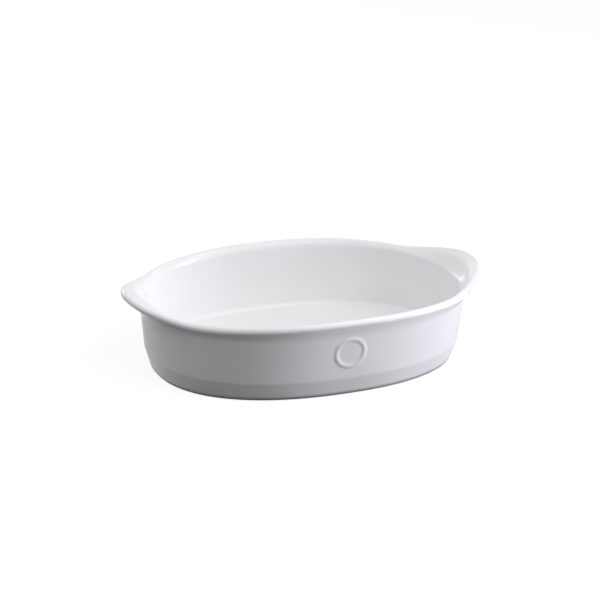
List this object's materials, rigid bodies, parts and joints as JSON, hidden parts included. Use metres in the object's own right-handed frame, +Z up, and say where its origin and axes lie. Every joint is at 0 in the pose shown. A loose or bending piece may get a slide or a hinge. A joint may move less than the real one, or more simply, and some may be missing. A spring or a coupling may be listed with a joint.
{
  "type": "oval baking dish",
  "caption": "Oval stoneware baking dish, glazed white, for the oven and table, with a rolled rim that swells into a lug handle at each end and a medallion on the front.",
  "frame": {"origin": "centre of the oval on the plane that the foot ring stands on", "axes": "+X along the long axis to one handle, -Y to the front wall with the medallion, +Z up out of the basin"},
  "size_m": [0.275, 0.1762, 0.063],
  "materials": {
    "stoneware": "matt fired clay",
    "white_glaze": "gloss",
    "underside_glaze": "gloss"
  },
  "bodies": {
    "root": {"stoneware_body": "stoneware", "glaze_coat": "white_glaze", "underside_glaze": "underside_glaze"}
  },
  "joints": []
}
